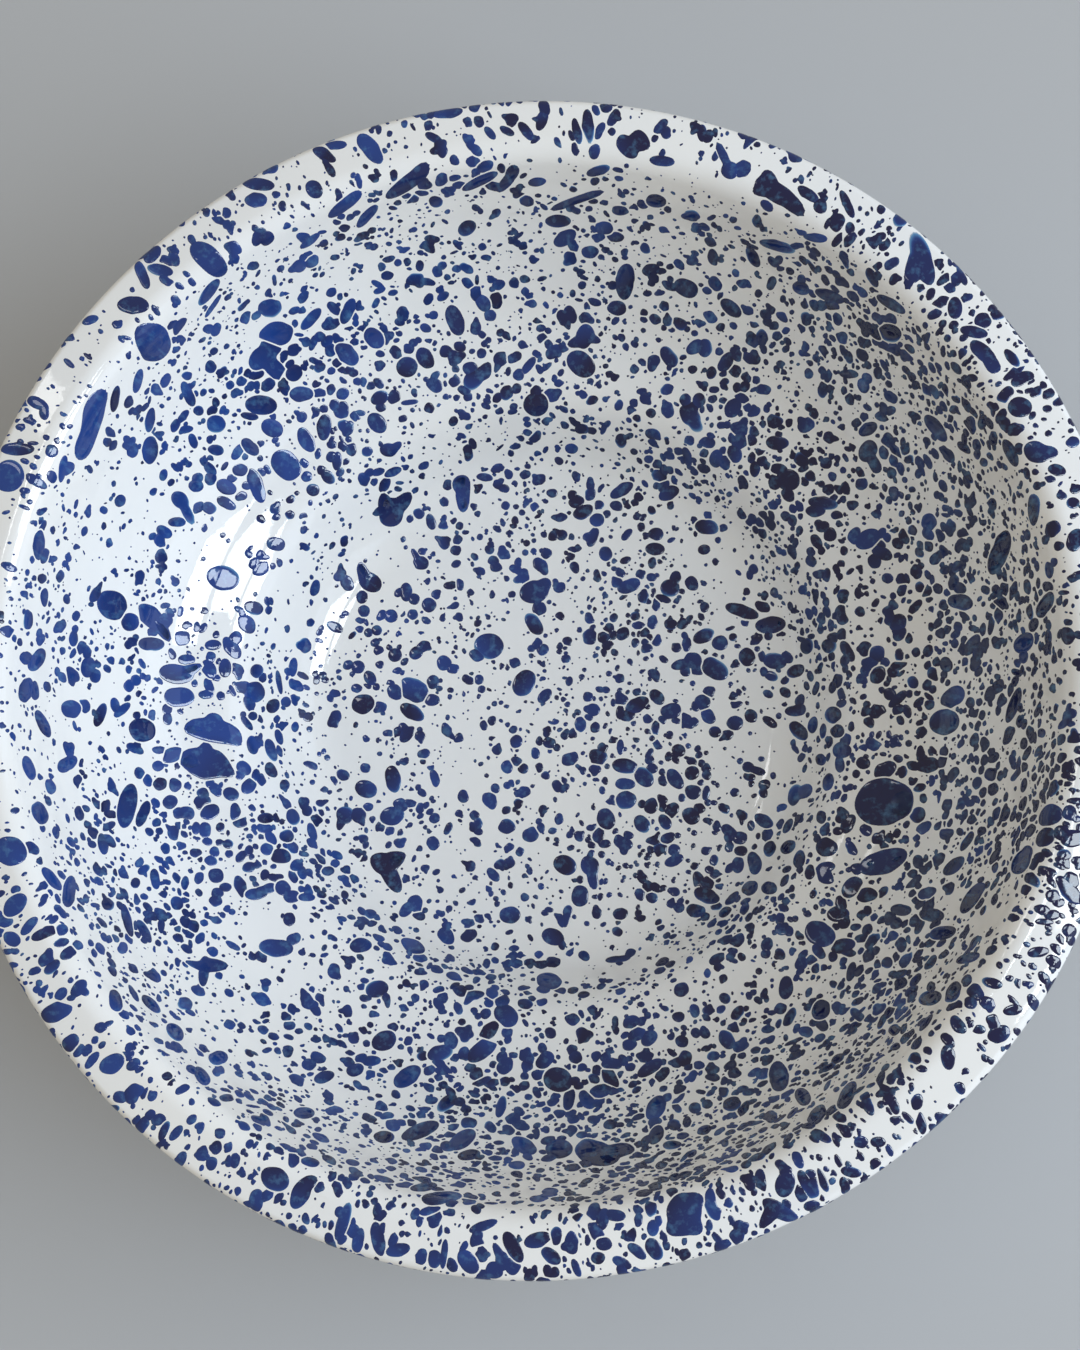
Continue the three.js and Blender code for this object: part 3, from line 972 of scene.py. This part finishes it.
    def drop_faces(self, count, rings):
        """Triangles of a drop: a fan above, bands between its rings and a fan below."""
        top = rings * count
        bottom = top + 1
        last = (rings - 1) * count
        faces = []
        for k in range(count):
            n = (k + 1) % count
            faces.append((top, k, n))
            for j in range(0, last, count):
                faces.append((j + k, j + count + k, j + count + n))
                faces.append((j + k, j + count + n, j + n))
            faces.append((bottom, last + n, last + k))
        if self.face.side < 0:
            faces = [face[::-1] for face in faces]
        return faces


# Materials

def set_inputs(tree, made, inputs):
    """Sets a node's inputs to plain values, or links them to outputs."""
    for key, value in inputs.items():
        if isinstance(value, bpy.types.NodeSocket):
            tree.links.new(value, made.inputs[key])
        else:
            made.inputs[key].default_value = value


def new_node(tree, kind, inputs):
    made = tree.nodes.new(kind)
    set_inputs(tree, made, inputs)
    return made


def new_material(name):
    material = bpy.data.materials.new(name)
    material.use_nodes = True
    return material, material.node_tree, material.node_tree.nodes["Principled BSDF"]


def noise_of(tree, scale, detail, roughness=0.5, squeeze=None):
    """Noise in waves a metre; squeeze stretches it along the axes where it is below 1."""
    place = new_node(tree, "ShaderNodeTexCoord", {}).outputs["Object"]
    if squeeze:
        place = new_node(tree, "ShaderNodeMapping", {"Vector": place, "Scale": squeeze}).outputs["Vector"]
    inputs = {"Vector": place, "Scale": scale, "Detail": detail, "Roughness": roughness}
    return new_node(tree, "ShaderNodeTexNoise", inputs).outputs["Fac"]


def mark(tree, name):
    """A value that each point of a mesh carries."""
    made = tree.nodes.new("ShaderNodeAttribute")
    made.attribute_name = name
    return made.outputs["Fac"]


def ramp(tree, source, stops):
    """A colour for each value, between stops of value and colour."""
    made = new_node(tree, "ShaderNodeValToRGB", {"Fac": source})
    elements = made.color_ramp.elements
    for element, (position, colour) in zip(elements, (stops[0], stops[-1])):
        element.position = position
        element.color = colour
    for position, colour in stops[1:-1]:
        elements.new(position).color = colour
    return made.outputs["Color"]


def between(tree, source, low, high, from_low=0.0, from_high=1.0):
    """A value carried from one range to another."""
    inputs = {"Value": source, "From Min": from_low, "From Max": from_high, "To Min": low, "To Max": high}
    return new_node(tree, "ShaderNodeMapRange", inputs).outputs["Result"]


def blended(tree, share, first, second):
    """Mixes two colours, each a linked output or a plain colour."""
    made = tree.nodes.new("ShaderNodeMix")
    made.data_type = "RGBA"
    keys = [key for key, socket in enumerate(made.inputs) if socket.type == "RGBA"]
    set_inputs(tree, made, {"Factor": share, keys[0]: first, keys[1]: second})
    return next(socket for socket in made.outputs if socket.type == "RGBA")


def bump(tree, shader, layers):
    """Bumps of a skin, in layers of waves a metre and depth in metres."""
    inputs = {"Strength": 1}
    for scale, depth in layers:
        inputs |= {"Distance": depth, "Height": noise_of(tree, scale, detail=2)}
        inputs["Normal"] = new_node(tree, "ShaderNodeBump", inputs).outputs["Normal"]
    set_inputs(tree, shader, {"Normal": inputs["Normal"]})


def gloss_coat(tree, shader, colour, smooth, rough):
    """A fired gloss coat: its shine shifts a little, and its skin is slightly wavy."""
    shine = noise_of(tree, scale=60, detail=3)
    roughness = between(tree, shine, smooth, rough, from_low=0.3, from_high=0.7)
    set_inputs(tree, shader, {"Base Color": colour, "Roughness": roughness})
    bump(tree, shader, GLOSS_BUMPS)


def cream_enamel():
    """Glossy cream enamel with faint cloudy shifts of colour."""
    material, tree, shader = new_material("cream_enamel")
    cloud = noise_of(tree, scale=14, detail=4)
    colour = ramp(tree, cloud, ((0.35, CREAM_COOL), (0.65, CREAM)))
    gloss_coat(tree, shader, colour, smooth=0.025, rough=0.06)
    return material


def navy_enamel():
    """Glossy navy enamel: each drop has its own tone, with painted light making the lit side paler; some are
    streaked, and thin edges run to pale teal.
    """
    material, tree, shader = new_material("navy_enamel")
    thin = mark(tree, "thin")
    body = ramp(tree, mark(tree, "tone"), ((0.1, NAVY), (0.95, COBALT)))
    edge = ramp(tree, thin, ((0.35, COBALT), (0.7, TEAL), (1.0, CREAM_COOL)))
    streaks = noise_of(tree, scale=330, detail=3, roughness=0.6, squeeze=STREAK_SQUEEZE)
    streak_share = between(tree, streaks, low=0, high=0.5, from_low=0.52, from_high=0.76)
    edge_share = between(tree, thin, low=0, high=1, from_low=0.15, from_high=0.6)
    colour = blended(tree, edge_share, blended(tree, streak_share, body, TEAL), edge)
    gloss_coat(tree, shader, colour, smooth=0.02, rough=0.05)
    return material


def ground_enamel():
    """Dark ground coat: matter than the cover coat, with a fine grain."""
    material, tree, shader = new_material("ground_enamel")
    grain = noise_of(tree, scale=400, detail=3)
    colour = ramp(tree, grain, ((0.3, GROUND), (0.8, GROUND_PALE)))
    set_inputs(tree, shader, {"Base Color": colour, "Roughness": between(tree, grain, low=0.25, high=0.4)})
    bump(tree, shader, GROUND_BUMPS)
    return material


def bare_steel():
    """Bare pressed steel with a fine grain."""
    material, tree, shader = new_material("bare_steel")
    grain = noise_of(tree, scale=220, detail=4)
    colour = ramp(tree, grain, ((0.3, STEEL), (0.8, STEEL_PALE)))
    roughness = between(tree, grain, low=0.3, high=0.5)
    set_inputs(tree, shader, {"Base Color": colour, "Roughness": roughness, "Metallic": 1})
    return material


# Stage

def make_floor():
    bpy.ops.mesh.primitive_plane_add(size=FLOOR_SIZE)
    floor = bpy.context.object
    floor.name = "floor"
    material, tree, shader = new_material("floor")
    set_inputs(tree, shader, {"Base Color": FLOOR, "Roughness": FLOOR_ROUGHNESS})
    floor.data.materials.append(material)


def area_light(name, place, wide, high, radiance, colour):
    """A rectangular lamp aimed at the bowl, by the brightness of its face."""
    data = bpy.data.lights.new(name, "AREA")
    data.shape = "RECTANGLE"
    data.size = wide
    data.size_y = high
    data.energy = radiance * math.pi * wide * high
    data.color = colour
    lamp = add_object(name, data)
    lamp.location = place
    lamp.rotation_euler = (Vector(LAMP_AIM) - Vector(place)).to_track_quat("-Z", "Y").to_euler()
    return lamp


def light_stage():
    world = bpy.data.worlds.new("studio")
    world.use_nodes = True
    tree = world.node_tree
    set_inputs(tree, tree.nodes["Background"], {"Color": WORLD_COLOUR, "Strength": WORLD_STRENGTH})
    bpy.context.scene.world = world
    for lamp in SOFT_LAMPS:
        area_light(*lamp).visible_glossy = False
    for lamp in MIRRORED_LAMPS:
        area_light(*lamp).visible_diffuse = False
    bpy.context.scene.view_settings.view_transform = "Standard"


# The bowl
cream = cream_enamel()
navy = navy_enamel()
ground = ground_enamel()
steel = bare_steel()
rim_rows = SHEET_ROWS[:BEAD_START]
edge_lap = (
    (COVER_BACK, LAYER_GAP),
    (-SHEET_FACE, LAYER_GAP),
    (-SHEET_FACE, EDGE_LAP),
    (COVER_FACE, EDGE_LAP),
)
layers = (
    ("steel_sheet", SHEET_ROWS, -SHEET_FACE, SHEET_FACE, HIDDEN_SEGMENTS, steel, (),
     "steel_shell", "steel"),
    ("ground_inside", SHEET_ROWS, GROUND_BACK, GROUND_FACE, HIDDEN_SEGMENTS, ground, (),
     "ground_coat_inside", "ground_enamel"),
    ("ground_outside", rim_rows, -GROUND_FACE, -GROUND_BACK, HIDDEN_SEGMENTS, ground, (),
     "ground_coat_outside", "ground_enamel"),
    ("cream_inside", SHEET_ROWS, COVER_BACK, COVER_FACE, SEGMENTS, cream, edge_lap,
     "cover_coat_inside", "cream_enamel"),
    ("cream_outside", rim_rows, -COVER_FACE, -COVER_BACK, SEGMENTS, cream, (),
     "cover_coat_outside", "cream_enamel"),
)
coats = {}
for name, rows, low, high, segments, material, lap, node, slot in layers:
    piece = turned_layer(name, rows, low, high, segments, material, lap)
    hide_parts(node)
    coats[name] = piece

make_camera()
inside = Splatter(INSIDE, FIRST_DROP, INSIDE.s[-1] - BARE_END, seed=11)
inside_sight = sight_on(coats["cream_inside"], INSIDE)
inside.place_by_photo(PHOTO_BLOTS, inside_sight)
inside.place_by_photo([(row,) for row in PHOTO_DROPS], inside_sight)
inside.crowd_by_photo(PHOTO_PATCHES, inside_sight)
inside.scatter(INSIDE_DENSITY, LARGEST_RANDOM)
inside.make_objects("drops_inside", navy)
outside = Splatter(OUTSIDE, FIRST_DROP, OUTSIDE.s[-1], seed=12)
outside.scatter(OUTSIDE_DENSITY, DROP_SIZES[0][1])
outside.make_objects("drops_outside", navy)

make_floor()
light_stage()
